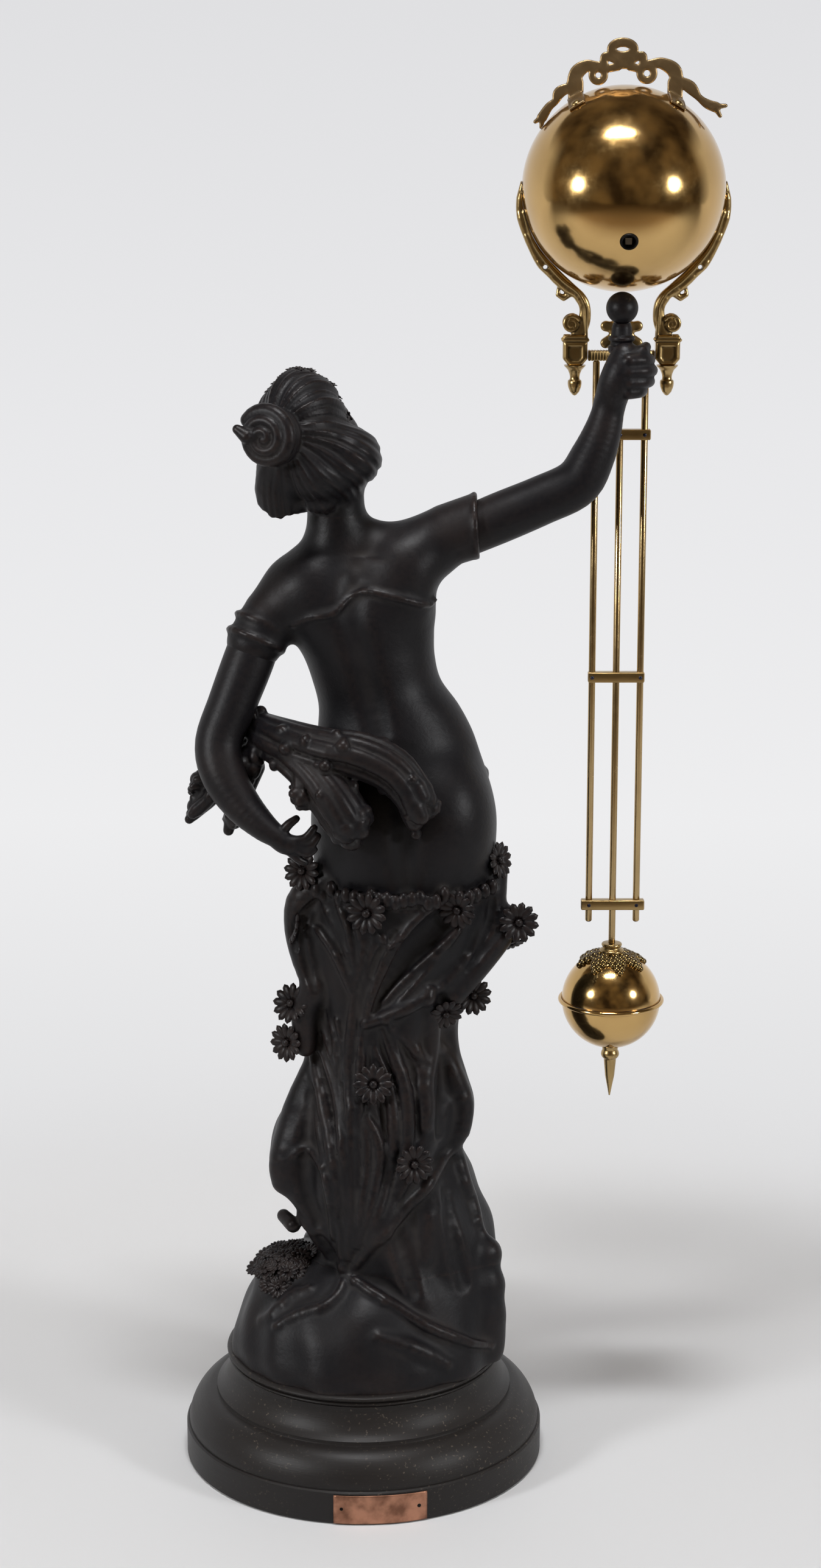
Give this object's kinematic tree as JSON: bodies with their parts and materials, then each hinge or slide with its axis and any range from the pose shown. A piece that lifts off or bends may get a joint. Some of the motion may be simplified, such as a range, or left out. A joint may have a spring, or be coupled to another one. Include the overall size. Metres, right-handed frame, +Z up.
{
  "type": "mystery clock",
  "caption": "Swinging mystery clock: a patinated draped figure on a turned plinth holds up a brass ball clock with a gridiron pendulum and pointed bob.",
  "frame": {"origin": "centre of the plinth's flat underside, where it rests on a shelf or mantel", "axes": "+Z up; the figure faces +Y, so the dial looks along +Y; the raised arm and the clock are on the +X side"},
  "size_m": [0.3156, 0.2154, 0.8364],
  "materials": {
    "ebonised_wood": "dark painted turned wood, worn satin",
    "copper_sheet": "thin coppered plate, dull",
    "dark_spelter": "brown-black patinated spelter, semi-gloss",
    "polished_brass": "polished lacquered brass",
    "plain_brass": "satin brass clock plates and wheels",
    "steel": "bright steel",
    "blued_steel": "blued steel",
    "dial_white": "white painted dial",
    "clear_glass": "flat clear glass",
    "bob_filling": "dull lead-grey filling"
  },
  "bodies": {
    "stand": {"base_plinth": "ebonised_wood", "name_plate": "copper_sheet", "plate_nails": "steel", "fixing_rod": "steel", "fixing_washer": "steel", "fixing_nut": "steel", "ground_mound": "dark_spelter", "figure_skirt": "dark_spelter", "figure_torso": "dark_spelter", "figure_head": "dark_spelter", "raised_arm": "dark_spelter", "lowered_arm": "dark_spelter", "flower_sheaf": "dark_spelter", "flower_heads": "dark_spelter", "hand_post": "dark_spelter", "pivot_pin": "steel"},
    "swing": {"rear_shell": "polished_brass", "front_shell": "polished_brass", "winding_eyelet": "blued_steel", "bezel": "polished_brass", "dial_glass": "clear_glass", "dial": "dial_white", "ribbon_crest": "polished_brass", "crest_screws": "polished_brass", "right_bracket": "polished_brass", "left_bracket": "polished_brass", "bracket_drops": "polished_brass", "crossbar": "polished_brass", "pivot_carrier": "polished_brass", "outer_rods": "polished_brass", "centre_rod": "polished_brass", "upper_crosspiece": "polished_brass", "middle_crosspiece": "polished_brass", "lower_crosspiece": "polished_brass", "gridiron_pins": "steel", "front_plate": "plain_brass", "back_plate": "plain_brass", "plate_pillars": "plain_brass", "click": "steel"},
    "centre": {"centre_wheel": "plain_brass", "cannon_pinion": "steel", "minute_hand": "blued_steel"},
    "hour": {"hour_wheel": "plain_brass", "hour_hand": "blued_steel"},
    "motion": {"minute_wheel": "plain_brass"},
    "barrel": {"spring_barrel": "plain_brass", "mainspring": "steel"},
    "winder": {"winding_arbor": "steel", "ratchet_wheel": "steel"},
    "third": {"third_wheel": "plain_brass"},
    "escape": {"escape_wheel": "plain_brass"},
    "escapement": {"anchor": "steel", "inner_pendulum": "plain_brass"},
    "bob": {"bob_upper_shell": "polished_brass", "bob_lower_shell": "polished_brass", "bob_band": "polished_brass", "bob_cap": "polished_brass", "bob_weight": "bob_filling"},
    "spike": {"rating_spike": "polished_brass"}
  },
  "joints": [
    {"name": "swing_hinge", "type": "hinge", "parent": "stand", "child": "swing", "pos_m": [0.148, 0.022, 0.675], "axis": [0, 1, 0], "range_deg": [-4, 4]},
    {"name": "centre_turn", "type": "hinge", "parent": "swing", "child": "centre", "pos_m": [0.148, 0.022, 0.7535], "axis": [0, -1, 0], "continuous": true},
    {"name": "hour_turn", "type": "hinge", "parent": "swing", "child": "hour", "pos_m": [0.148, 0.022, 0.7535], "axis": [0, -1, 0], "continuous": true},
    {"name": "motion_turn", "type": "hinge", "parent": "swing", "child": "motion", "pos_m": [0.136, 0.022, 0.7535], "axis": [0, -1, 0], "continuous": true},
    {"name": "barrel_turn", "type": "hinge", "parent": "swing", "child": "barrel", "pos_m": [0.148, 0.022, 0.728], "axis": [0, -1, 0], "continuous": true},
    {"name": "third_turn", "type": "hinge", "parent": "swing", "child": "third", "pos_m": [0.1568, 0.022, 0.76874], "axis": [0, -1, 0], "continuous": true},
    {"name": "escape_turn", "type": "hinge", "parent": "swing", "child": "escape", "pos_m": [0.14346, 0.022, 0.7736], "axis": [0, -1, 0], "continuous": true},
    {"name": "winding_turn", "type": "hinge", "parent": "swing", "child": "winder", "pos_m": [0.148, 0.022, 0.728], "axis": [0, -1, 0], "continuous": true},
    {"name": "escapement_rock", "type": "hinge", "parent": "swing", "child": "escapement", "pos_m": [0.148, 0.022, 0.7845], "axis": [0, 1, 0], "range_deg": [-4, 4]},
    {"name": "bob_slide", "type": "slide", "parent": "swing", "child": "bob", "axis": [0, 0, 1], "range_m": [-0.003, 0.003]},
    {"name": "rating_turn", "type": "hinge", "parent": "bob", "child": "spike", "pos_m": [0.148, 0.022, 0.2482], "axis": [0, 0, 1], "range_deg": [-1090, 1090]}
  ],
  "couplings": [
    {"joint": "hour_turn", "follows": "centre_turn", "ratio": 0.083333},
    {"joint": "motion_turn", "follows": "centre_turn", "ratio": -0.33333},
    {"joint": "barrel_turn", "follows": "centre_turn", "ratio": -0.083333},
    {"joint": "third_turn", "follows": "centre_turn", "ratio": -10},
    {"joint": "escape_turn", "follows": "centre_turn", "ratio": 100},
    {"joint": "rating_turn", "follows": "bob_slide", "rad_per_m": 6283.2}
  ]
}
